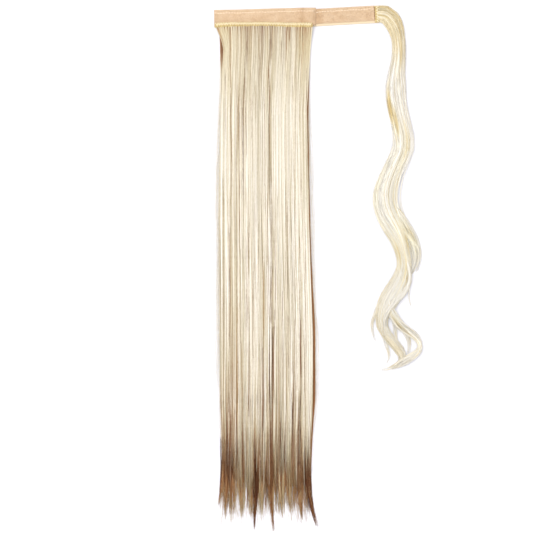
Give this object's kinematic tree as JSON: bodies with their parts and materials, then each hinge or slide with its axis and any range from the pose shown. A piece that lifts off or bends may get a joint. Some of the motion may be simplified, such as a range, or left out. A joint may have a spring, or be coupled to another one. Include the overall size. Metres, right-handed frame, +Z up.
{
  "type": "ponytail hairpiece",
  "caption": "Wrap-round ponytail hairpiece: straight two-layer hair sewn to a loop-tape band, with a fastening strap that ends in a wavy strand.",
  "frame": {"origin": "middle of the underside of the base band, on the surface that the piece lies on", "axes": "+X along the band towards the strap, +Y from the tips of the hair to the band, +Z up off the surface"},
  "size_m": [0.2401, 0.6054, 0.0097],
  "materials": {
    "loop_tape": "brushed loop pile",
    "hook_tape": "woven, pale",
    "weft": "folded and stitched hair",
    "blonde_hair": "smooth fibre, low gloss",
    "brown_hair": "smooth fibre, low gloss",
    "pale_hair": "wavy fibre, low gloss"
  },
  "bodies": {
    "root": {"base_band": "loop_tape", "strap_tape": "loop_tape", "strap_backing": "hook_tape", "main_weft": "weft", "wrap_weft": "weft", "top_hair": "blonde_hair", "under_hair": "brown_hair", "wrap_hair": "pale_hair"}
  },
  "joints": []
}
